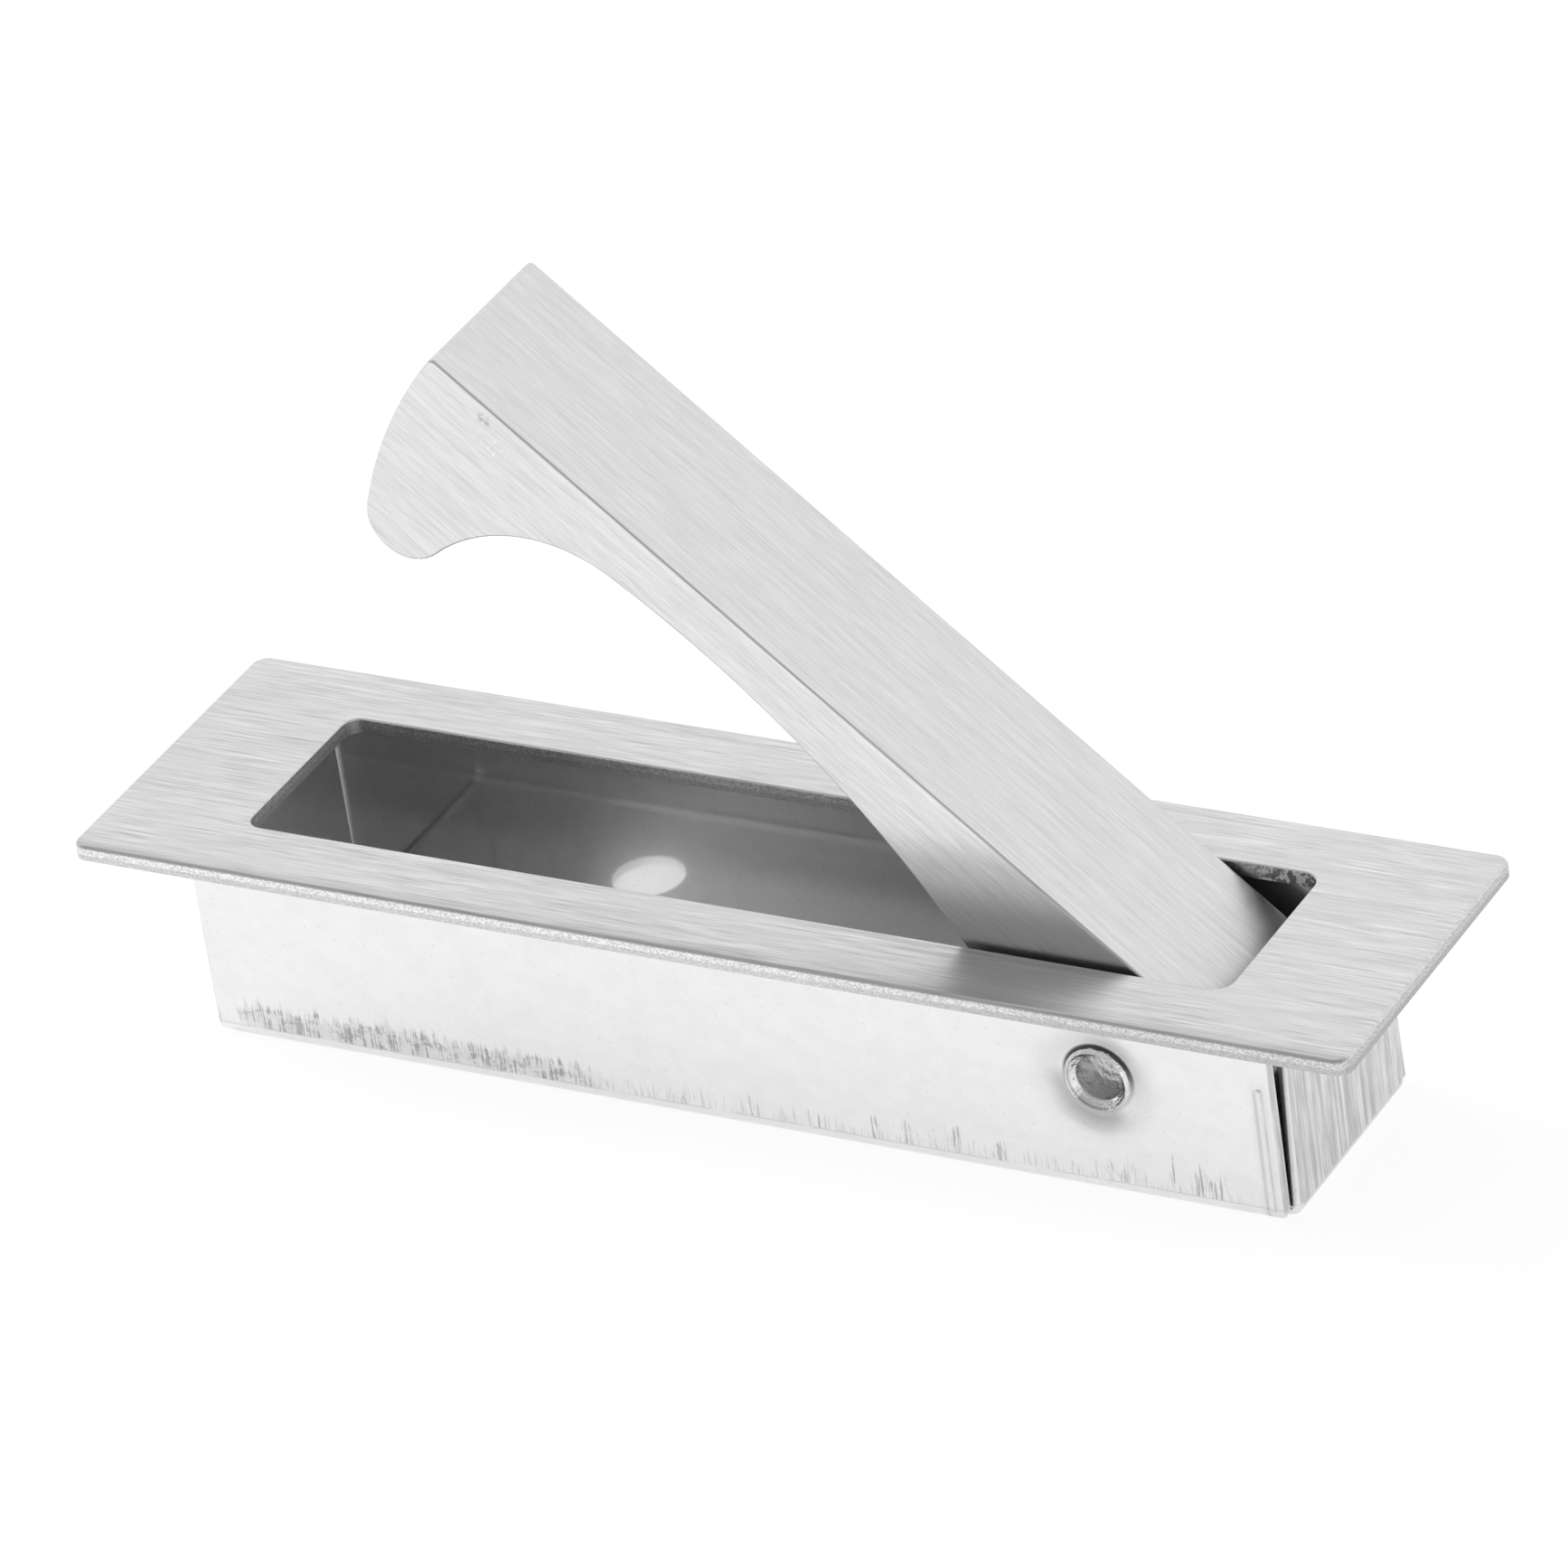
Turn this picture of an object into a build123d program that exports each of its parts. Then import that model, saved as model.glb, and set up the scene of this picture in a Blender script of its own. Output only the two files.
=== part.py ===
from build123d import *
import os
from math import acos, atan2, cos, hypot, sin, sqrt

# Recessed cabinet pull, in millimetres. X runs along the pull, with the handle's nose towards -X and its pivot
# towards +X. Y runs across it and Z is up. The origin is the middle of the cup's underside.

# Face plate: blanked sheet with a window
plate_length = 120.6
plate_width = 32.5
plate_thickness = 1.4
plate_offset = 0.4
plate_corner_radius = 1.4
plate_edge_roll = 0.4
window_length = 93.2
window_overhang = 1.35
window_corner_radius = 1.6
window_edge_roll = 0.2

# Cup: one folded tray, welded by its wall tops to the plate's underside
long_wall_length = 102.3
long_wall_offset = -0.35
end_wall_span = 101.8
end_wall_offset = 0.7
cup_width = 22.6
cup_height = 19.4
cup_sheet = 0.8
bend_inner_radius = 0.6
nose_seam_at_top = 0.4
pivot_seam_at_top = 1.0
seam_at_floor = 0.3
corner_relief = 0.3
wall_edge_radius = 0.4
screw_hole_diameter = 6.6
screw_hole_spacing = 53.0
crease_width = 0.7
crease_height = 0.18
crease_from_end = 1.2
crease_top = 12.8

# Pivot: a cross pin with drilled, flared ends, seated in a dish pressed into each long wall
pivot_offset = 34.5
pivot_drop = 9.8
pin_diameter = 5.0
pin_wall_clearance = 0.05
pin_running_clearance = 0.05
pin_bore_diameter = 4.2
pin_bore_depth = 2.5
flare_diameter = 6.0
flare_mouth_diameter = 5.5
flare_height = 0.7
flare_lip = 0.35
dish_depth = 0.7
dish_seat_diameter = 6.8
dish_rim_diameter = 10.4
dish_bend_radius = 1.8
washer_diameter = 8.0
washer_side_play = 0.1

# Handle: one solid lever, flush in the window when shut and modelled part open
handle_open_angle = 40.0
handle_side_gap = 0.55
nose_gap = 1.25
tail_gap = 1.15
hook_floor_gap = 0.7
nose_radius = 38.5
nose_crown_drop = 2.0
nose_edge_radius = 0.6
hook_tip_radius = 3.8
hook_throat_radius = 14.0
belly_radius = 100.0
belly_thickness = 4.95
pivot_lobe_radius = 6.5
tail_thickness = 5.0
tail_edge_radius = 0.8
handle_edge_break = 0.25

# Sizes that follow from those above
plate_top = cup_height + plate_thickness
outer_bend_radius = bend_inner_radius + cup_sheet
pivot_height = plate_top - pivot_drop
window_width = cup_width - 2 * (cup_sheet + window_overhang)
handle_width = window_width - 2 * handle_side_gap
cheek_to_wall = (cup_width - 2 * cup_sheet - handle_width) / 2
washer_thickness = cheek_to_wall - dish_depth - washer_side_play
dish_seat_face = cup_width / 2 - dish_depth
crease_radius = (crease_width**2 / 4 + crease_height**2) / (2 * crease_height)
pivot_place = Pos(pivot_offset, 0, pivot_height)


def make_face_plate():
    """Flat plate with rounded corners, its window, and the soft top edges that blanking leaves."""
    outline = RectangleRounded(plate_length, plate_width, plate_corner_radius)
    window = RectangleRounded(window_length, window_width, window_corner_radius)
    plate = Pos(0, 0, cup_height) * extrude(Pos(plate_offset, 0) * outline - window, plate_thickness)
    top = plate.faces().sort_by(Axis.Z)[-1]
    plate = fillet(top.outer_wire().edges(), plate_edge_roll)
    top = plate.faces().sort_by(Axis.Z)[-1]
    return fillet(top.inner_wires()[0].edges(), window_edge_roll)


def cup_outline(width):
    """Outside of the cup seen square on, standing on the sketch's X axis, with a bend at each lower corner."""
    outer = Pos(0, cup_height / 2) * Rectangle(width, cup_height)
    return fillet(outer.vertices().group_by(Axis.Y)[0], outer_bend_radius)


def folded_section(width):
    """Upright U of bent sheet: a floor, two bends and two walls."""
    inner_height = cup_height - cup_sheet
    inner = Pos(0, cup_sheet + inner_height / 2) * Rectangle(width - 2 * cup_sheet, inner_height)
    inner = fillet(inner.vertices().group_by(Axis.Y)[0], bend_inner_radius)
    return cup_outline(width) - inner


def end_flap_outline(seam_at_top):
    """End wall seen along X: narrow through its bend, stepped out above it, with seams that widen upwards."""
    inside = cup_width / 2 - cup_sheet
    bend_half = cup_width / 2 - outer_bend_radius - corner_relief
    foot_half = inside - seam_at_floor
    head_half = inside - seam_at_top
    right_side = [
        (bend_half, 0),
        (bend_half, outer_bend_radius),
        (foot_half, outer_bend_radius),
        (head_half, cup_height),
    ]
    left_side = [(-y, z) for y, z in reversed(right_side)]
    return make_face(Polyline(*right_side, *left_side, close=True))


def pressed_dish():
    """Disc of sheet about Y, pressed inwards: its outer border lies on Y = 0 and its seat at the dish's depth."""
    seat = dish_seat_diameter / 2
    rim = dish_rim_diameter / 2
    border = rim + dish_bend_radius
    outer_side = [(0, dish_depth), (seat, dish_depth), (rim, 0), (border, 0)]
    inner_side = [(r, depth + cup_sheet) for r, depth in reversed(outer_side)]
    section = make_face(Polyline(*outer_side, *inner_side, close=True))
    bends = [corner for corner in section.vertices() if seat / 2 < corner.X < (rim + border) / 2]
    return revolve(fillet(bends, dish_bend_radius), Axis.Y), border


def raised_crease():
    """Upright crease with round ends that the folding tool leaves on the front wall, just short of its end."""
    run = crease_top - outer_bend_radius
    middle = (crease_top + outer_bend_radius) / 2
    crease = Cylinder(crease_radius, run) + [Pos(0, 0, end * run / 2) * Sphere(crease_radius) for end in (-1, 1)]
    sunk = crease_radius - crease_height
    wall_end = long_wall_offset + long_wall_length / 2
    return Pos(wall_end - crease_from_end, sunk - cup_width / 2, middle) * crease


def make_cup():
    """Folded tray: floor and long walls, end walls folded up between them, dishes, pin holes and screw holes."""
    long_walls = extrude(Plane.YZ * folded_section(cup_width), long_wall_length / 2, both=True)
    long_walls &= extrude(Plane.XZ * cup_outline(long_wall_length), cup_width / 2, both=True)
    long_walls &= extrude(RectangleRounded(long_wall_length, cup_width, wall_edge_radius), cup_height)
    long_walls = Pos(long_wall_offset, 0, 0) * long_walls
    flat_floor_width = cup_width - 2 * outer_bend_radius
    for side in (-1, 1):
        cut_back = Box(2 * outer_bend_radius, flat_floor_width, 2 * cup_sheet)
        long_walls -= Pos(end_wall_offset + side * end_wall_span / 2, 0, 0) * cut_back
    end_walls = extrude(Plane.XZ * folded_section(end_wall_span), cup_width / 2, both=True)
    end_walls = Pos(end_wall_offset, 0, 0) * end_walls
    nose_flap = extrude(Plane.YZ * end_flap_outline(nose_seam_at_top), -end_wall_span)
    pivot_flap = extrude(Plane.YZ * end_flap_outline(pivot_seam_at_top), end_wall_span)
    end_walls &= nose_flap + pivot_flap
    front_crease = raised_crease()
    cup = long_walls + end_walls + [front_crease, mirror(front_crease, Plane.XZ)]

    dish, border = pressed_dish()
    front_dish = Pos(pivot_offset, -cup_width / 2, pivot_height) * dish
    across = Rot(90, 0, 0)
    cup -= pivot_place * across * Cylinder(border, 2 * cup_width)
    cup += [front_dish, mirror(front_dish, Plane.XZ)]
    cup -= pivot_place * across * Cylinder(pin_diameter / 2 + pin_wall_clearance, 2 * cup_width)
    for side in (-1, 1):
        cup -= Pos(side * screw_hole_spacing / 2, 0, 0) * Cylinder(screw_hole_diameter / 2, 4 * cup_sheet)
    return cup


def make_pivot_pin():
    """Round cross pin; each end is drilled and flared out over the dish's seat."""
    shank = pin_diameter / 2
    bore = pin_bore_diameter / 2
    flare_top = dish_seat_face + flare_height
    half_section = make_face(
        Polyline(
            (0, 0),
            (shank, 0),
            (shank, dish_seat_face),
            (flare_diameter / 2, dish_seat_face),
            (flare_diameter / 2, dish_seat_face + flare_lip),
            (flare_mouth_diameter / 2, flare_top),
            (bore, dish_seat_face),
            (bore, flare_top - pin_bore_depth),
            (0, flare_top - pin_bore_depth),
            close=True,
        )
    )
    half_pin = revolve(half_section, Axis.Y)
    return pivot_place * (half_pin + mirror(half_pin, Plane.XZ))


def make_pivot_washers():
    """Two plain washers on the pin, each lying against the inner face of a dish."""
    ring = Circle(washer_diameter / 2) - Circle(pin_diameter / 2 + pin_wall_clearance)
    seat = dish_seat_face - cup_sheet
    washer = Pos(0, -seat, 0) * extrude(Plane.XZ * ring, -washer_thickness)
    return pivot_place * Compound([washer, mirror(washer, Plane.XZ)])


def meeting_point(first_centre, first_reach, second_centre, second_reach):
    """The point at both distances from the two centres that lies to the left of the way between them."""
    run = second_centre - first_centre
    along = (first_reach**2 - second_reach**2 + run.length**2) / (2 * run.length)
    aside = sqrt(first_reach**2 - along**2)
    way = run.normalized()
    return first_centre + way * along + Vector(-way.Y, way.X) * aside


def arc_about(centre, start, end):
    """The shorter arc about a centre from one point to another."""
    middle = ((start - centre).normalized() + (end - centre).normalized()).normalized()
    return ThreePointArc(start, centre + middle * (start - centre).length, end)


def handle_outline():
    """Side view of the shut handle about its pivot: straight top, round nose, hooked tip, arched belly, pivot lobe."""
    top = pivot_drop
    nose_reach = pivot_offset + window_length / 2 - nose_gap
    tail_reach = window_length / 2 - pivot_offset - tail_gap
    hook_low = pivot_height - cup_sheet - hook_floor_gap
    pivot = Vector(0, 0)

    nose_centre = Vector(nose_radius - nose_reach, top - nose_crown_drop)
    tip_height = hook_tip_radius - hook_low
    tip_rise = tip_height - nose_centre.Y
    tip_centre = Vector(nose_centre.X - sqrt((nose_radius - hook_tip_radius) ** 2 - tip_rise**2), tip_height)
    belly_height = top - belly_thickness - belly_radius
    belly_centre = Vector(-sqrt((belly_radius + pivot_lobe_radius) ** 2 - belly_height**2), belly_height)
    throat_centre = meeting_point(
        tip_centre, hook_tip_radius + hook_throat_radius, belly_centre, belly_radius - hook_throat_radius
    )

    nose_top = Vector(nose_centre.X - sqrt(nose_radius**2 - nose_crown_drop**2), top)
    nose_to_tip = nose_centre + (tip_centre - nose_centre).normalized() * nose_radius
    tip_to_throat = tip_centre + (throat_centre - tip_centre).normalized() * hook_tip_radius
    throat_to_belly = belly_centre + (throat_centre - belly_centre).normalized() * belly_radius
    belly_to_lobe = (belly_centre - pivot).normalized() * pivot_lobe_radius
    tail_low = Vector(tail_reach, top - tail_thickness)
    swing = atan2(tail_low.Y, tail_low.X) - acos(pivot_lobe_radius / hypot(tail_low.X, tail_low.Y))
    lobe_to_tail = Vector(cos(swing), sin(swing)) * pivot_lobe_radius
    tail_top = Vector(tail_reach, top)

    outline = make_face(
        [
            Line(tail_top, nose_top),
            arc_about(nose_centre, nose_top, nose_to_tip),
            arc_about(tip_centre, nose_to_tip, tip_to_throat),
            arc_about(throat_centre, tip_to_throat, throat_to_belly),
            arc_about(belly_centre, throat_to_belly, belly_to_lobe),
            arc_about(pivot, belly_to_lobe, lobe_to_tail),
            Line(lobe_to_tail, tail_low),
            Line(tail_low, tail_top),
        ]
    )
    outline = fillet(outline.vertices().sort_by_distance(nose_top)[0], nose_edge_radius)
    for corner in (tail_top, tail_low):
        outline = fillet(outline.vertices().sort_by_distance(corner)[0], tail_edge_radius)
    return outline


def make_handle():
    """Lever with broken edges and a pivot bore, turned open about the pin."""
    lever = extrude(Plane.XZ * handle_outline(), handle_width / 2, both=True)
    cheeks = lever.faces().filter_by(Axis.Y)
    lever = fillet(cheeks.edges(), handle_edge_break)
    bore = Rot(90, 0, 0) * Cylinder(pin_diameter / 2 + pin_running_clearance, 2 * handle_width)
    return pivot_place * Rot(0, handle_open_angle, 0) * (lever - bore)


os.makedirs("parts", exist_ok=True)
export_step(make_face_plate(), "parts/face_plate.step")
export_step(make_cup(), "parts/cup.step")
export_step(make_pivot_pin(), "parts/pivot_pin.step")
export_step(make_pivot_washers(), "parts/pivot_washers.step")
export_step(make_handle(), "parts/handle.step")
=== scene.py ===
import bpy
from math import pi, radians
from mathutils import Matrix, Vector


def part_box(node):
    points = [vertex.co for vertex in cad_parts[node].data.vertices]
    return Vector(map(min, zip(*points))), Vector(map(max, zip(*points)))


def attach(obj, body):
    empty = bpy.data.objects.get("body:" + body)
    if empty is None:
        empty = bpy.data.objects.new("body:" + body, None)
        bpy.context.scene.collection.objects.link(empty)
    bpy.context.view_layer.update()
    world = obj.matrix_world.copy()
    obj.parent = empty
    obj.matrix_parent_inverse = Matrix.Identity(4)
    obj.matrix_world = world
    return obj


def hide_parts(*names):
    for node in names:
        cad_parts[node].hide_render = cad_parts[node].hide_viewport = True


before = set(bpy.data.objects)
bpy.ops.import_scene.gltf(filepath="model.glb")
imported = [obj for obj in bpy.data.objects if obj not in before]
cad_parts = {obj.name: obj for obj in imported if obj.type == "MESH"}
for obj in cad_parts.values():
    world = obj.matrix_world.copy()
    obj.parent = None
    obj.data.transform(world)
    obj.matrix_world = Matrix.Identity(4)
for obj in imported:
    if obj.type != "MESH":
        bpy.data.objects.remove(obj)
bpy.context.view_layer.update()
mm = 0.001


# The cup is one tray folded from bright rolled steel sheet: a floor, two long walls and two end walls.
# The folding tools scrape its outside, most of all just above the bends, and its inside stays smooth.
# Its wall tops are welded to the underside of the face plate.
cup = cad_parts["cup"]
pivot = Vector((34.5, 0, 11.0)) * mm
bend_top = 1.4 * mm
crease_x = 49.6 * mm
crease_top = 14.4 * mm

# Each pair is where a mark or a painted shade begins to show and where it shows in full.
thick_scrapes_by_middle = (-7 * mm, -19 * mm)
thick_scrapes_by_nose = (-50.2 * mm, -48.0 * mm)
low_scrapes_by_pivot = (49 * mm, 46 * mm)
light_foot = (2.2 * mm, 0.8 * mm)
gap_shade_round_pin = (3.5 * mm, 3.1 * mm)
shadow_round_pin = (5.4 * mm, 3.2 * mm)
dull_round_pin = (7.0 * mm, 5.0 * mm)

# Each pair is the least and the greatest height of a ragged edge. The thick scrapes get lower along the drop.
thick_scrapes_height = (3.0 * mm, 5.0 * mm)
thick_scrapes_drop = (-22 * mm, -8 * mm)
low_scrapes_height = (1.3 * mm, 3.8 * mm)

# Tufts of scrapes on the long walls: middle along the pull, half width and height, in millimetres.
# Their ragged tops fall below that height and rise above it.
tufts = ((1.4, 0.7, 2.9), (13.0, 0.84, 3.3), (16.0, 0.84, 3.6), (20.3, 1.12, 4.0), (22.3, 0.56, 2.8),
         (24.6, 0.7, 3.2), (35.3, 1.82, 3.4), (40.8, 0.168, 4.6), (44.0, 2.38, 3.9), (-5.6, 0.84, 3.0),
         (7.5, 0.42, 2.6))
tuft_fall = 1.2
tuft_rise = 1.0

# Painted shade along the inside: start and end along the pull in millimetres, and the tone's share at each.
painted_inside_shades = ((-46, -30, 0.82, 1.22), (-22, 2, 1.0, 0.66), (36, 44, 1.0, 1.6))


def add_node(tree, kind, sockets=(), **settings):
    """A new node with its settings made and its input sockets set or linked."""
    made = tree.nodes.new(kind)
    for name, value in settings.items():
        setattr(made, name, value)
    for name, value in dict(sockets).items():
        if isinstance(value, bpy.types.NodeSocket):
            tree.links.new(value, made.inputs[name])
        else:
            made.inputs[name].default_value = value
    return made


def maths(tree, operation, *values):
    return add_node(tree, "ShaderNodeMath", enumerate(values), operation=operation).outputs[0]


def vector_maths(tree, operation, *values):
    return add_node(tree, "ShaderNodeVectorMath", enumerate(values), operation=operation).outputs


def product(tree, *values):
    """All the values multiplied together."""
    result = values[0]
    for value in values[1:]:
        result = maths(tree, "MULTIPLY", result, value)
    return result


def largest(tree, *values):
    result = values[0]
    for value in values[1:]:
        result = maths(tree, "MAXIMUM", result, value)
    return result


def distance(tree, first, second):
    """Straight distance covered by two steps at right angles."""
    squares = maths(tree, "ADD", product(tree, first, first), product(tree, second, second))
    return maths(tree, "SQRT", squares)


def fade(tree, value, start, end, low=0.0, high=1.0):
    """Smooth change from low to high while value goes from start to end."""
    sockets = {"Value": value, "From Min": start, "From Max": end, "To Min": low, "To Max": high}
    return add_node(tree, "ShaderNodeMapRange", sockets, interpolation_type="SMOOTHSTEP").outputs[0]


def line(tree, value, middle, half):
    """1 where value is at the middle of a line, falling to 0 at half its width."""
    return fade(tree, maths(tree, "ABSOLUTE", maths(tree, "SUBTRACT", value, middle)), half, half / 3)


def blend(tree, share, first, second):
    return add_node(tree, "ShaderNodeMix", {"Factor": share, "A": first, "B": second}).outputs[0]


def dulled(tree, tone, mask, share):
    """The tone, which falls to a share of itself where the mask is 1."""
    return product(tree, tone, fade(tree, mask, 0, 1, 1, share))


def stretched(tree, vector, scales, turn=(0, 0, 0)):
    """Coordinates turned and then scaled unevenly, so that a texture runs in streaks."""
    turned = add_node(tree, "ShaderNodeMapping", {"Vector": vector, "Rotation": turn}).outputs[0]
    return add_node(tree, "ShaderNodeMapping", {"Vector": turned, "Scale": scales}).outputs[0]


def cloud(tree, vector, scale, detail=2.0, roughness=0.5):
    sockets = {"Vector": vector, "Scale": scale, "Detail": detail, "Roughness": roughness}
    return add_node(tree, "ShaderNodeTexNoise", sockets).outputs["Fac"]


def axes(tree, vector):
    return add_node(tree, "ShaderNodeSeparateXYZ", {"Vector": vector}).outputs


def facing(tree):
    """The way the surface faces, along each axis."""
    return axes(tree, add_node(tree, "ShaderNodeNewGeometry").outputs["Normal"])


def from_pivot(tree, place):
    """Distances from the pivot's axis: along the pull, upwards and straight out."""
    aside, _, above = axes(tree, vector_maths(tree, "SUBTRACT", place, pivot)[0])
    return aside, above, distance(tree, aside, above)


def grey(tree, value):
    return add_node(tree, "ShaderNodeCombineColor", {"Red": value, "Green": value, "Blue": value}).outputs[0]


def surface(name, metallic=1.0):
    """A new material, its tree, its shader and its Object coordinates."""
    material = bpy.data.materials.new(name)
    material.use_nodes = True
    tree = material.node_tree
    tree.nodes.clear()
    shader = add_node(tree, "ShaderNodeBsdfPrincipled", {"Metallic": metallic})
    add_node(tree, "ShaderNodeOutputMaterial", {"Surface": shader.outputs[0]})
    place = add_node(tree, "ShaderNodeTexCoord").outputs["Object"]
    return material, tree, shader, place


def finish_metal(tree, shader, tone, roughness, relief, depth, strength):
    """Links a grey tone, a roughness and a relief of the given depth to a metal's shader."""
    bump = add_node(tree, "ShaderNodeBump", {"Height": relief, "Distance": depth, "Strength": strength})
    tree.links.new(grey(tree, tone), shader.inputs["Base Color"])
    tree.links.new(roughness, shader.inputs["Roughness"])
    tree.links.new(bump.outputs[0], shader.inputs["Normal"])


def scrapes(tree, place):
    """Upright scrapes above the bend, thick towards the nose, and the bright glints among the thick ones."""
    x, _, z = axes(tree, place)
    upright = cloud(tree, stretched(tree, place, (5600, 900, 260)), 1, 4, 0.65)
    slanted = cloud(tree, stretched(tree, place, (4200, 900, 900), (0, radians(30), 0)), 1, 2, 0.6)
    strokes = largest(tree, fade(tree, upright, 0.46, 0.60), fade(tree, slanted, 0.54, 0.66, 0, 0.5))
    ragged = cloud(tree, stretched(tree, place, (1300, 90, 60)), 1, 4, 0.7)
    patches = cloud(tree, stretched(tree, place, (480, 90, 950)), 1, 4, 0.7)

    def below(height, softness):
        return fade(tree, maths(tree, "SUBTRACT", z, height), 0.3 * mm, -softness)

    height = fade(tree, ragged, 0.25, 0.75, *thick_scrapes_height)
    height = product(tree, height, fade(tree, x, *thick_scrapes_drop, 1, 0.72))
    thick = product(tree, fade(tree, x, *thick_scrapes_by_middle), fade(tree, x, *thick_scrapes_by_nose))
    thick = product(tree, thick, below(height, 0.8 * mm))
    hatch = product(tree, strokes, fade(tree, patches, 0.36, 0.58, 0.15, 1))
    hatch = largest(tree, hatch, fade(tree, patches, 0.52, 0.64, 0, 0.6))
    marks = product(tree, thick, fade(tree, hatch, 0, 1, 0.30, 1))
    glints = fade(tree, cloud(tree, stretched(tree, place, (5200, 700, 130)), 1, 1), 0.68, 0.75)

    low = below(fade(tree, ragged, 0.3, 0.7, *low_scrapes_height), 0.7 * mm)
    low = product(tree, low, strokes, fade(tree, x, *low_scrapes_by_pivot), 0.42)
    marks = largest(tree, marks, low)
    for middle, half, top in tufts:
        height = fade(tree, ragged, 0.3, 0.7, (top - tuft_fall) * mm, (top + tuft_rise) * mm)
        tuft = product(tree, line(tree, x, middle * mm, half * mm), below(height, 0.5 * mm))
        marks = largest(tree, marks, product(tree, tuft, strokes, 0.75))
    above_bend = fade(tree, z, bend_top - 0.1 * mm, bend_top + 0.15 * mm)
    return product(tree, marks, above_bend), product(tree, glints, thick)


def bright_sheet():
    """Rolled sheet, smooth inside, with upright scrapes above the bends and down the end walls outside."""
    material, tree, shader, place = surface("bright_sheet")
    x, y, z = axes(tree, place)
    facing_x, facing_y, facing_z = facing(tree)
    long_wall = fade(tree, product(tree, facing_y, maths(tree, "SIGN", y)), 0.2, 0.6)
    end_wall = fade(tree, product(tree, facing_x, maths(tree, "SIGN", x)), 0.3, 0.7)
    underside = fade(tree, facing_z, -0.3, -0.8)
    outside = largest(tree, long_wall, end_wall, underside)
    inner_bend = product(tree, fade(tree, facing_z, 0.98, 0.93), fade(tree, facing_z, 0.03, 0.10))
    smudge = cloud(tree, stretched(tree, place, (380, 380, 480)), 1, 5, 0.7)
    specks = fade(tree, cloud(tree, place, 2300, 1), 0.67, 0.75)

    # The long walls: faint slanted hairs, scrapes, a broken line along the bend and a shadow by the crease.
    marks, glints = scrapes(tree, place)
    marks = product(tree, marks, long_wall)
    broken = fade(tree, cloud(tree, stretched(tree, place, (130, 90, 0)), 1, 3), 0.36, 0.50)
    bend_line = product(tree, line(tree, z, bend_top, 0.12 * mm), broken, long_wall, 0.42)
    hairs = cloud(tree, stretched(tree, place, (3600, 400, 260), (0, radians(52), 0)), 1, 1)
    hairs = product(tree, fade(tree, hairs, 0.68, 0.76), 0.03)
    wall_tone = maths(tree, "ADD", fade(tree, smudge, 0.3, 0.7, 0.855, 0.895), hairs)
    wall_tone = maths(tree, "SUBTRACT", wall_tone, product(tree, specks, 0.08))
    wall_tone = dulled(tree, dulled(tree, wall_tone, marks, 0.45), bend_line, 0.55)
    wall_tone = maths(tree, "ADD", wall_tone, product(tree, glints, 0.12))
    crease_shadow = line(tree, x, crease_x - 0.45 * mm, 0.22 * mm)
    under_crease_top = fade(tree, z, crease_top - 1.2 * mm, crease_top - 1.8 * mm)
    crease_shadow = product(tree, crease_shadow, under_crease_top, long_wall, 0.16)
    wall_tone = maths(tree, "SUBTRACT", wall_tone, crease_shadow)

    # Round the pin: painted dark shade in the gap, deepest at the top, and a painted soft shadow to the lower
    # left.
    aside, above, radius = from_pivot(tree, place)
    painted_gap_shade = product(tree, fade(tree, radius, *gap_shade_round_pin), fade(tree, above, -1.5 * mm, 2.0 * mm, 0.3, 0.92))
    lower_left = maths(tree, "ADD", product(tree, aside, -0.5), product(tree, above, -0.87))
    shadow = product(tree, fade(tree, radius, *shadow_round_pin), fade(tree, lower_left, 0.5 * mm, 3.0 * mm))
    wall_tone = dulled(tree, dulled(tree, wall_tone, painted_gap_shade, 0.1), shadow, 0.68)

    # The end walls: combed from top to bottom, darker overall from painted shade, with a lighter foot.
    combed = cloud(tree, stretched(tree, place, (900, 2300, 75)), 1, 4, 0.65)
    lumps = cloud(tree, stretched(tree, place, (300, 700, 260)), 1, 2)
    end_tone = maths(tree, "ADD", product(tree, combed, 0.75), product(tree, lumps, 0.25))
    end_tone = fade(tree, end_tone, 0.34, 0.66, 0.52, 0.88)
    end_tone = largest(tree, end_tone, fade(tree, z, *light_foot, 0, 0.86))

    # The inside: a smooth grey, with painted shade that changes along the pull and darkens the bends, end
    # walls and floor.
    inside_tone = fade(tree, smudge, 0.3, 0.7, 0.645, 0.695)
    inside_tone = maths(tree, "SUBTRACT", inside_tone, product(tree, specks, 0.1))
    inside_tone = dulled(tree, inside_tone, inner_bend, 0.8)
    for start, end, first, last in painted_inside_shades:
        inside_tone = product(tree, inside_tone, fade(tree, x, start * mm, end * mm, first, last))
    on_end = maths(tree, "ABSOLUTE", facing_x)
    inside_tone = product(tree, inside_tone, fade(tree, on_end, 0.3, 0.9, 1, 0.55))
    inside_tone = product(tree, inside_tone, fade(tree, facing_z, 0.9, 0.99, 1, 0.80))

    tone = blend(tree, end_wall, blend(tree, outside, inside_tone, wall_tone), end_tone)
    creased = product(tree, line(tree, x, crease_x, 1.4 * mm), long_wall, 2.0)
    creased = product(tree, creased, fade(tree, z, crease_top, crease_top - 1.0 * mm))
    worn = product(tree, largest(tree, marks, end_wall, creased), 0.14)
    roughness = maths(tree, "ADD", fade(tree, outside, 0, 1, 0.40, 0.22), worn)
    by_pin = product(tree, outside, fade(tree, radius, *dull_round_pin, 0, 0.28))
    roughness = maths(tree, "ADD", roughness, by_pin)
    relief = maths(tree, "ADD", product(tree, smudge, 0.6), product(tree, end_wall, combed, 0.5))
    finish_metal(tree, shader, tone, roughness, relief, 0.02 * mm, 0.3)

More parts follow.
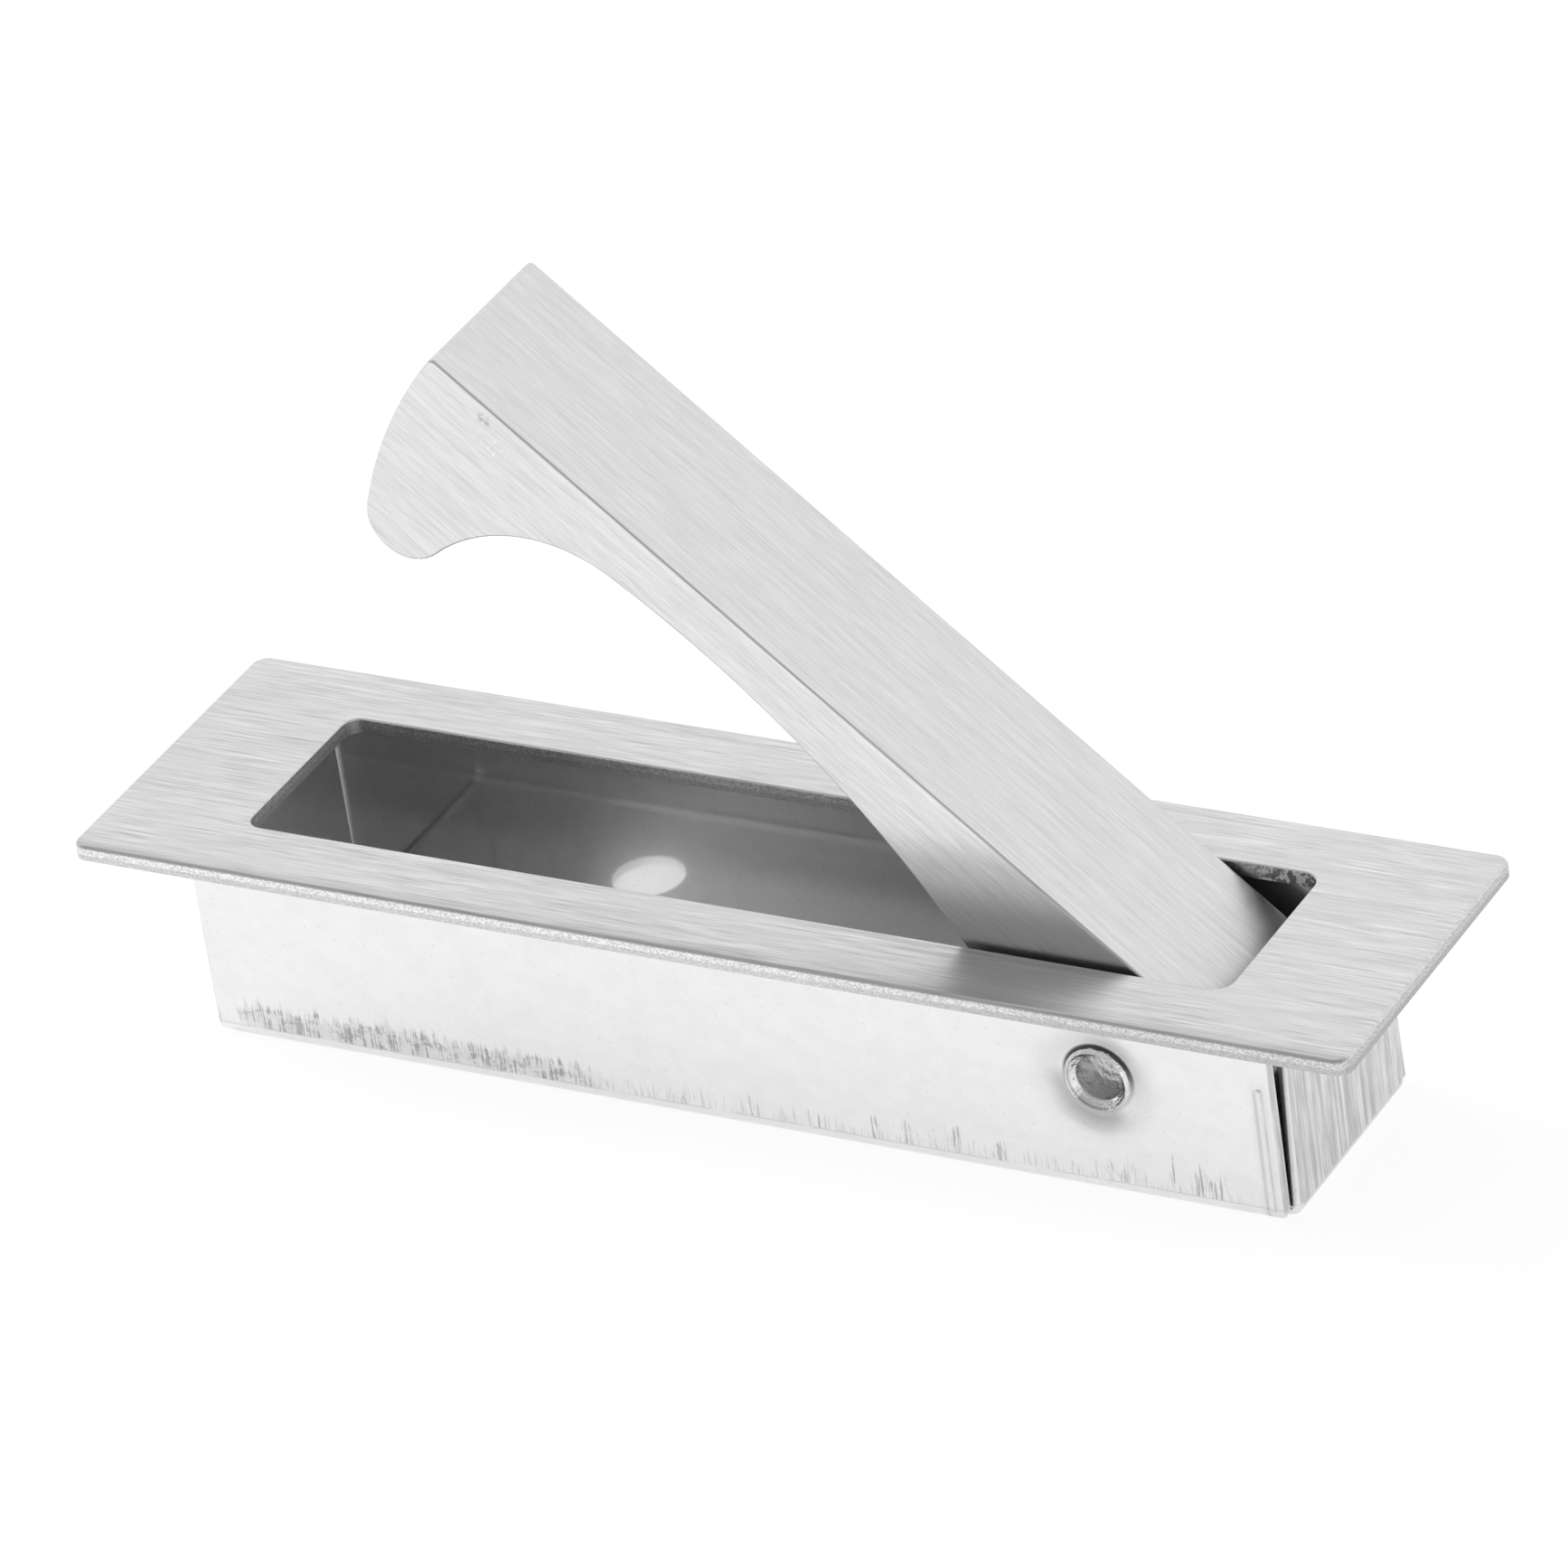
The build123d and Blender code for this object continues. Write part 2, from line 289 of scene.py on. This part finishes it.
    # The smooth inside mirrors what is near it, so it has a coat, which stops at the bends.
    shader.inputs["Coat IOR"].default_value = 4.0
    shader.inputs["Coat Roughness"].default_value = 0.06
    uncoated = largest(tree, outside, inner_bend)
    tree.links.new(maths(tree, "SUBTRACT", 1.0, uncoated), shader.inputs["Coat Weight"])
    return material


cup.material_slots[0].material = bright_sheet()


# The face plate is blanked from thicker stainless sheet, with a window punched out, and brushed lengthwise.
# The punch rolls the top edge over, and leaves a bright speckled band under it and a duller torn one below.
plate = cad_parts["face_plate"]
plate_low, plate_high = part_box("face_plate")

# Fineness of the brushing, in waves per metre: along the plate's streaks, and across any streaks.
plate_run = 190
brush_pitch = 6500

# Heights over the plate's underside between which the torn band gives way to the bright one.
torn_low = 0.50 * mm
torn_high = 0.62 * mm

# An edge belongs to the window where it is nearer to the middle than this, along the pull and across it.
window_reach_along = 48.0 * mm
window_reach_across = 9.8 * mm

# Each pair is where a change of tone begins and ends: along the pull, or in from the plate's own edge.
rim_towards_pivot = (5 * mm, 40 * mm)
window_behind_pivot = (38 * mm, 43 * mm)
front_shade_span = (2.0 * mm, 0.3 * mm)
pivot_end_shade_span = (0.6 * mm, 0.2 * mm)


def brushing():
    """Shader group for a brushed finish: fine streaks along the first axis, about 0.5, and lone scratches."""
    group = bpy.data.node_groups.new("brushing", "ShaderNodeTree")
    group.interface.new_socket("Vector", in_out="INPUT", socket_type="NodeSocketVector")
    for name in ("Run", "Pitch"):
        group.interface.new_socket(name, in_out="INPUT", socket_type="NodeSocketFloat")
    for name in ("Streak", "Scratch"):
        group.interface.new_socket(name, in_out="OUTPUT", socket_type="NodeSocketFloat")
    given = add_node(group, "NodeGroupInput").outputs
    scales = {"X": given["Run"], "Y": given["Pitch"], "Z": given["Pitch"]}
    streaks = stretched(group, given["Vector"], add_node(group, "ShaderNodeCombineXYZ", scales).outputs[0])
    short = cloud(group, streaks, 1.0, 2, 0.7)
    long = cloud(group, streaks, 0.3, 3, 0.6)
    both = maths(group, "ADD", product(group, short, 0.66), product(group, long, 0.34))
    lone = cloud(group, stretched(group, streaks, (0.35, 0.8, 0.8), (0, 0, radians(0.6))), 1.0, 0)
    add_node(group, "NodeGroupOutput", {"Streak": both, "Scratch": fade(group, lone, 0.74, 0.82)})
    return group


brushing_group = brushing()


def brushed(tree, vector, run):
    """The streaks and the scratches of a brushed finish, as long as the run makes them."""
    sockets = {"Vector": vector, "Run": run, "Pitch": brush_pitch}
    outputs = add_node(tree, "ShaderNodeGroup", sockets, node_tree=brushing_group).outputs
    return outputs["Streak"], outputs["Scratch"]


def within(tree, value, limit):
    """1 where value lies within the limit on either side of the middle."""
    return fade(tree, maths(tree, "ABSOLUTE", value), limit + 0.2 * mm, limit - 0.2 * mm)


def brushed_plate():
    """Brushed top and underside, a rolled edge, and rims with a bright speckled band over a dull one."""
    material, tree, shader, place = surface("brushed_plate")
    x, y, z = axes(tree, place)
    facing_z = facing(tree)["Z"]
    streak, scratch = brushed(tree, place, plate_run)
    patchy = cloud(tree, stretched(tree, place, (90, 260, 0)), 1, 2)
    contrast = fade(tree, patchy, 0.3, 0.7, 0.5, 1.3)
    sway = product(tree, maths(tree, "SUBTRACT", streak, 0.5), contrast, 0.85)
    face = maths(tree, "SUBTRACT", maths(tree, "ADD", sway, 0.72), product(tree, scratch, 0.10))
    # Painted shade: the top is darker in patches along its front margin.
    front = fade(tree, maths(tree, "SUBTRACT", y, plate_low.y), *front_shade_span)
    face = dulled(tree, face, product(tree, front, fade(tree, patchy, 0.2, 0.6, 0.6, 1)), 0.84)

    grain = cloud(tree, stretched(tree, place, (4200, 4200, 7000)), 1, 2, 0.7)
    torn = fade(tree, grain, 0.35, 0.65, 0.58, 0.76)
    sheared = fade(tree, grain, 0.40, 0.60, 0.66, 1.0)
    rim = blend(tree, fade(tree, z, plate_low.z + torn_low, plate_low.z + torn_high), torn, sheared)
    # Painted shade: the rim at the pivot's end is a little darker, as on the side that faces the darker room.
    painted_pivot_end_shade = fade(tree, maths(tree, "SUBTRACT", plate_high.x, x), *pivot_end_shade_span)
    rim = dulled(tree, rim, painted_pivot_end_shade, 0.86)
    rim = product(tree, rim, fade(tree, x, *rim_towards_pivot, 1, 0.82))

    # The window's edge gets a little painted shade, and behind the pivot deep painted shade with large flecks
    # of painted sparkle.
    in_window = product(tree, within(tree, x, window_reach_along), within(tree, y, window_reach_across))
    behind_pivot = product(tree, in_window, fade(tree, x, *window_behind_pivot))
    painted_sparkle = fade(tree, cloud(tree, place, 1700, 2, 0.7), 0.48, 0.58)
    rim = dulled(tree, dulled(tree, rim, in_window, 0.9), behind_pivot, 0.45)
    rim = maths(tree, "ADD", rim, product(tree, behind_pivot, painted_sparkle, 0.7))

    side = fade(tree, maths(tree, "ABSOLUTE", facing_z), 0.62, 0.30)
    # Painted shade: the rolled edge is a touch darker, for the dark room it mirrors.
    painted_roll_shade = product(tree, fade(tree, facing_z, 0.999, 0.96), fade(tree, facing_z, 0.30, 0.45))
    tone = dulled(tree, blend(tree, side, face, rim), painted_roll_shade, 0.98)
    roughness = fade(tree, streak, 0.3, 0.7, 0.46, 0.34)
    finish_metal(tree, shader, tone, roughness, blend(tree, side, streak, grain), 0.01 * mm, 0.4)
    return material


plate.material_slots[0].material = brushed_plate()


# The pivot pin is a turned steel rod through both long walls and the handle.
# Its ends are drilled and flared over to hold it.
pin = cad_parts["pivot_pin"]
drilled_radius = 2.15 * mm
flare_crest_radius = 2.62 * mm


def flared_steel():
    """Bright steel with the flaring punch's small dents and rings, and painted shade in its bore and on its
    crest.
    """
    material, tree, shader, place = surface("flared_steel")
    _, _, radius = from_pivot(tree, place)
    rings = cloud(tree, stretched(tree, place, (500, 6000, 500)), 1, 2)
    drilled = fade(tree, radius, drilled_radius + 0.1 * mm, drilled_radius - 0.1 * mm)
    painted_crest_shade = product(tree, line(tree, radius, flare_crest_radius, 0.12 * mm), 0.6)
    # Painted shade: the drilled bore and the flare's crest are darker.
    tone = dulled(tree, fade(tree, rings, 0.3, 0.7, 0.72, 0.88), drilled, 0.8)
    tone = dulled(tree, tone, painted_crest_shade, 0.45)
    roughness = fade(tree, drilled, 0, 1, 0.06, 0.34)
    dents = cloud(tree, place, 1500, 2, 0.6)
    finish_metal(tree, shader, tone, roughness, dents, 0.2 * mm, 0.9)
    return material


pin.material_slots[0].material = flared_steel()


# Two washers of natural nylon sit on the pin, one on each side of the handle.
# They fill the space between its cheeks and the cup's walls, and keep it in the middle.
washer_low, washer_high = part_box("pivot_washers")
washer_thickness = 1.1 * mm
washer_bore_radius = 2.55 * mm
washer_edge_radius = 0.15 * mm


def nylon():
    material, tree, shader, place = surface("natural_nylon", metallic=0.0)
    mottle = cloud(tree, place, 900, 2)
    tree.links.new(grey(tree, fade(tree, mottle, 0.3, 0.7, 0.62, 0.72)), shader.inputs["Base Color"])
    shader.inputs["Roughness"].default_value = 0.5
    return material


def washer_pair(material):
    """Geometry Nodes tree: one ring with rounded edges, swept round the pin's axis and set on each side."""
    group = bpy.data.node_groups.new("washer_pair", "GeometryNodeTree")
    group.interface.new_socket("Middle", in_out="INPUT", socket_type="NodeSocketVector")
    for name in ("Outer Radius", "Bore Radius", "Thickness", "Edge Radius", "Spacing"):
        group.interface.new_socket(name, in_out="INPUT", socket_type="NodeSocketFloat")
    group.interface.new_socket("Geometry", in_out="OUTPUT", socket_type="NodeSocketGeometry")
    given = add_node(group, "NodeGroupInput").outputs
    width = maths(group, "SUBTRACT", given["Outer Radius"], given["Bore Radius"])
    midway = product(group, maths(group, "ADD", given["Outer Radius"], given["Bore Radius"]), 0.5)

    def shape(kind, sockets, **settings):
        return add_node(group, kind, sockets, **settings).outputs[0]

    circle = shape("GeometryNodeCurvePrimitiveCircle", {"Resolution": 96, "Radius": midway})
    section = {"Width": width, "Height": given["Thickness"]}
    section = shape("GeometryNodeCurvePrimitiveQuadrilateral", section)
    rounding = {"Curve": section, "Radius": given["Edge Radius"], "Count": 4}
    section = shape("GeometryNodeFilletCurve", rounding, mode="POLY")
    ring = shape("GeometryNodeCurveToMesh", {"Curve": circle, "Profile Curve": section})
    step = add_node(group, "ShaderNodeCombineXYZ", {"Y": given["Spacing"]}).outputs[0]
    half = add_node(group, "ShaderNodeCombineXYZ", {"Y": product(group, given["Spacing"], 0.5)}).outputs[0]
    first = vector_maths(group, "SUBTRACT", given["Middle"], half)[0]
    seats = shape("GeometryNodeMeshLine", {"Count": 2, "Start Location": first, "Offset": step})
    on_pin = {"Points": seats, "Instance": ring, "Rotation": (pi / 2, 0, 0)}
    pair = shape("GeometryNodeInstanceOnPoints", on_pin)
    pair = shape("GeometryNodeRealizeInstances", {"Geometry": pair})
    pair = shape("GeometryNodeSetMaterial", {"Geometry": pair, "Material": material})
    add_node(group, "NodeGroupOutput", {"Geometry": pair})
    return group


def grown(name, group, **sizes):
    """A plain mesh object with what a Geometry Nodes tree makes from the sizes given by their input names."""
    seed = bpy.data.objects.new(name, bpy.data.meshes.new(name))
    bpy.context.scene.collection.objects.link(seed)
    modifier = seed.modifiers.new(name, "NODES")
    modifier.node_group = group
    for socket in group.interface.items_tree:
        if socket.in_out == "INPUT":
            modifier[socket.identifier] = sizes[socket.name.lower().replace(" ", "_")]
    seen = seed.evaluated_get(bpy.context.evaluated_depsgraph_get())
    seed.data = bpy.data.meshes.new_from_object(seen)
    seed.modifiers.remove(modifier)
    return seed


washers = grown("nylon_washers", washer_pair(nylon()),
                middle=(washer_low + washer_high) / 2,
                outer_radius=(washer_high.x - washer_low.x) / 2,
                bore_radius=washer_bore_radius,
                thickness=washer_thickness,
                edge_radius=washer_edge_radius,
                spacing=washer_high.y - washer_low.y - washer_thickness)
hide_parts("pivot_washers")
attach(washers, "recess")


# The handle is one solid steel lever, cast and ground to shape, and brushed lengthwise on its top and cheeks.
# It turns on the pivot pin and lies flush in the window when it is shut.
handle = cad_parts["handle"]
open_angle = radians(40)

# Fineness of its brushing along the streaks, in waves per metre.
handle_run = 260

# Heights over the cup's underside between which painted shade darkens the cheeks, with the handle open as it
# is modelled.
cheek_shade_heights = (33.5 * mm, 26 * mm)

# Measured from the pivot with the handle shut: its top, the depth of a painted highlight under the cheeks'
# top edge, and two small marks on the near cheek by the nose.
handle_top = 9.8 * mm
edge_highlight_depth = 0.40 * mm
scuff_middle = Vector((-73.2, -8.6, 8.6)) * mm
scuff_reach = Vector((1.1, 1, 0.8)) * mm
smear_middle = Vector((-71.4, -8.6, 7.0)) * mm
smear_reach = Vector((2.2, 1, 1.8)) * mm


def spot(tree, vector, middle, reach):
    """Soft patch: 1 near its middle and 0 outside its reach along each axis."""
    moved = vector_maths(tree, "SUBTRACT", vector, middle)[0]
    sized = vector_maths(tree, "DIVIDE", moved, reach)[0]
    return fade(tree, vector_maths(tree, "LENGTH", sized)["Value"], 1.0, 0.3)


def brushed_handle():
    """Brushed steel: a painted highlight under each cheek's top edge, a scuff, and painted shade on the
    cheeks by the pivot.
    """
    material, tree, shader, place = surface("brushed_handle")
    lying = {"Vector": place, "Location": pivot, "Rotation": (0, open_angle, 0)}
    level = add_node(tree, "ShaderNodeMapping", lying, vector_type="TEXTURE").outputs[0]
    streak, scratch = brushed(tree, level, handle_run)
    facing_y = maths(tree, "ABSOLUTE", facing(tree)["Y"])
    cheek = fade(tree, facing_y, 0.6, 0.95)
    sway = product(tree, maths(tree, "SUBTRACT", streak, 0.5), fade(tree, cheek, 0, 1, 0.42, 0.6))
    tone = maths(tree, "SUBTRACT", maths(tree, "ADD", sway, 0.72), product(tree, scratch, 0.07))
    # Painted light: the cheeks are a little lighter than the top.
    tone = maths(tree, "ADD", tone, product(tree, cheek, 0.05))
    # A painted highlight runs along each cheek just under its top edge.
    painted_edge_highlight = line(tree, axes(tree, level)["Z"], handle_top - edge_highlight_depth, 0.22 * mm)
    tone = maths(tree, "ADD", tone, product(tree, cheek, painted_edge_highlight, 0.05))
    # Painted shade on the cheeks by the pivot.
    painted_cheek_shade = product(tree, cheek, fade(tree, axes(tree, place)["Z"], *cheek_shade_heights))
    tone = dulled(tree, tone, painted_cheek_shade, 0.66)

    blotches = cloud(tree, stretched(tree, level, (1500, 0, 1500)), 1, 3, 0.7)
    scuff = product(tree, spot(tree, level, scuff_middle, scuff_reach), fade(tree, blotches, 0.45, 0.6))
    smear = product(tree, spot(tree, level, smear_middle, smear_reach), fade(tree, blotches, 0.52, 0.62))
    tone = maths(tree, "SUBTRACT", tone, product(tree, scuff, 0.22))
    tone = maths(tree, "ADD", tone, product(tree, smear, 0.10))

    # Painted shade: the broken edges are a touch darker, for the dark line along them.
    painted_edge_shade = product(tree, fade(tree, facing_y, 0.10, 0.30), fade(tree, facing_y, 0.97, 0.90))
    tone = dulled(tree, tone, painted_edge_shade, 0.95)
    roughness = fade(tree, streak, 0.3, 0.7, 0.38, 0.28)
    finish_metal(tree, shader, tone, roughness, streak, 0.008 * mm, 0.3)
    return material


handle.material_slots[0].material = brushed_handle()


# The stage is a plain white table that runs out of view.
# It glows a little to the camera so that it reads as white, and keeps a faint shadow of the pull.
# A painted pool of light glows on it under the cup's two screw holes, so that a hole mirrored in the far wall
# shows bright.
floor_reach = 4.0
hole_spacing = 53.0 * mm
edge_of_hole_light = (3.8 * mm, 3.2 * mm)
floor_mesh = bpy.data.meshes.new("table")
corners = [(x * floor_reach, y * floor_reach, 0) for x, y in ((-1, -1), (1, -1), (1, 1), (-1, 1))]
floor_mesh.from_pydata(corners, [], [(0, 1, 2, 3)])
table = bpy.data.objects.new("table", floor_mesh)
bpy.context.scene.collection.objects.link(table)


def seen_directly(tree):
    """Two masks: rays that come straight from the camera, and rays that come by a mirror or through glass."""
    path = add_node(tree, "ShaderNodeLightPath").outputs
    return path["Is Camera Ray"], largest(tree, path["Is Glossy Ray"], path["Is Transmission Ray"])


white = bpy.data.materials.new("white_table")
white.use_nodes = True
tree = white.node_tree
tree.nodes.clear()
paper = add_node(tree, "ShaderNodeBsdfDiffuse", {"Color": (0.9, 0.9, 0.9, 1)})
x, y, _ = axes(tree, add_node(tree, "ShaderNodeTexCoord").outputs["Object"])
aside = maths(tree, "SUBTRACT", maths(tree, "ABSOLUTE", x), hole_spacing / 2)
glow_with_painted_hole_light = fade(tree, distance(tree, aside, y), *edge_of_hole_light, 1.12, 1.9)
glow = add_node(tree, "ShaderNodeEmission", {"Strength": glow_with_painted_hole_light})
by_camera, by_mirror = seen_directly(tree)
share = largest(tree, product(tree, by_camera, 0.75), product(tree, by_mirror, 0.6))
mix = add_node(tree, "ShaderNodeMixShader", {0: share, 1: paper.outputs[0], 2: glow.outputs[0]})
add_node(tree, "ShaderNodeOutputMaterial", {"Surface": mix.outputs[0]})
floor_mesh.materials.append(white)


# The room is white behind the pull and to its sides, and dark above and behind the camera.
# A softbox high on the left gives the light its direction, and isn't seen in the metal.
dark_side = Vector((-0.05, -0.62, 0.78)).normalized()
soft_light = 0.70
world = bpy.data.worlds.new("studio")
bpy.context.scene.world = world
world.use_nodes = True
tree = world.node_tree
tree.nodes.clear()
by_camera, by_mirror = seen_directly(tree)
direction = add_node(tree, "ShaderNodeTexCoord").outputs["Generated"]
towards_dark = vector_maths(tree, "DOT_PRODUCT", direction, dark_side)["Value"]
mirrored = fade(tree, towards_dark, 0.85, 0.30, 0.46, 1.0)
strength = largest(tree, blend(tree, by_mirror, soft_light, mirrored), by_camera)
sky = add_node(tree, "ShaderNodeBackground", {"Color": (1, 1, 1, 1), "Strength": strength})
add_node(tree, "ShaderNodeOutputWorld", {"Surface": sky.outputs[0]})

softbox = bpy.data.lights.new("softbox", "AREA")
softbox.shape = "SQUARE"
softbox.size = 0.7
softbox.energy = 6.0
lamp = bpy.data.objects.new("softbox", softbox)
lamp.location = (-0.75, 0.1, 0.75)
lamp.visible_glossy = False
lamp.rotation_mode = "QUATERNION"
lamp.rotation_quaternion = (-lamp.location).to_track_quat("-Z", "Y")
bpy.context.scene.collection.objects.link(lamp)

bpy.context.scene.view_settings.view_transform = "Standard"


# The camera stands to the right and in front, well back with a long lens, and is rolled a little.
# Its place was solved from the straight edges of the plate, the window and the cup.
camera_azimuth = radians(32.212)
camera_elevation = radians(30.712)
camera_roll = radians(-8.587)
camera_distance = 894.19 * mm
camera_aim = Vector((0.03, 3.0, 25.45)) * mm
lens = bpy.data.cameras.new("camera")
lens.sensor_width = 36.0
lens.lens = 245.36
lens.clip_start = 0.01
lens.clip_end = 20.0
camera = bpy.data.objects.new("camera", lens)
turn = Matrix.Rotation(camera_azimuth, 4, "Z") @ Matrix.Rotation(pi / 2 - camera_elevation, 4, "X")
turn = turn @ Matrix.Rotation(camera_roll, 4, "Z")
camera.matrix_world = Matrix.Translation(camera_aim + turn.to_3x3() @ Vector((0, 0, camera_distance))) @ turn
bpy.context.scene.collection.objects.link(camera)
bpy.context.scene.camera = camera
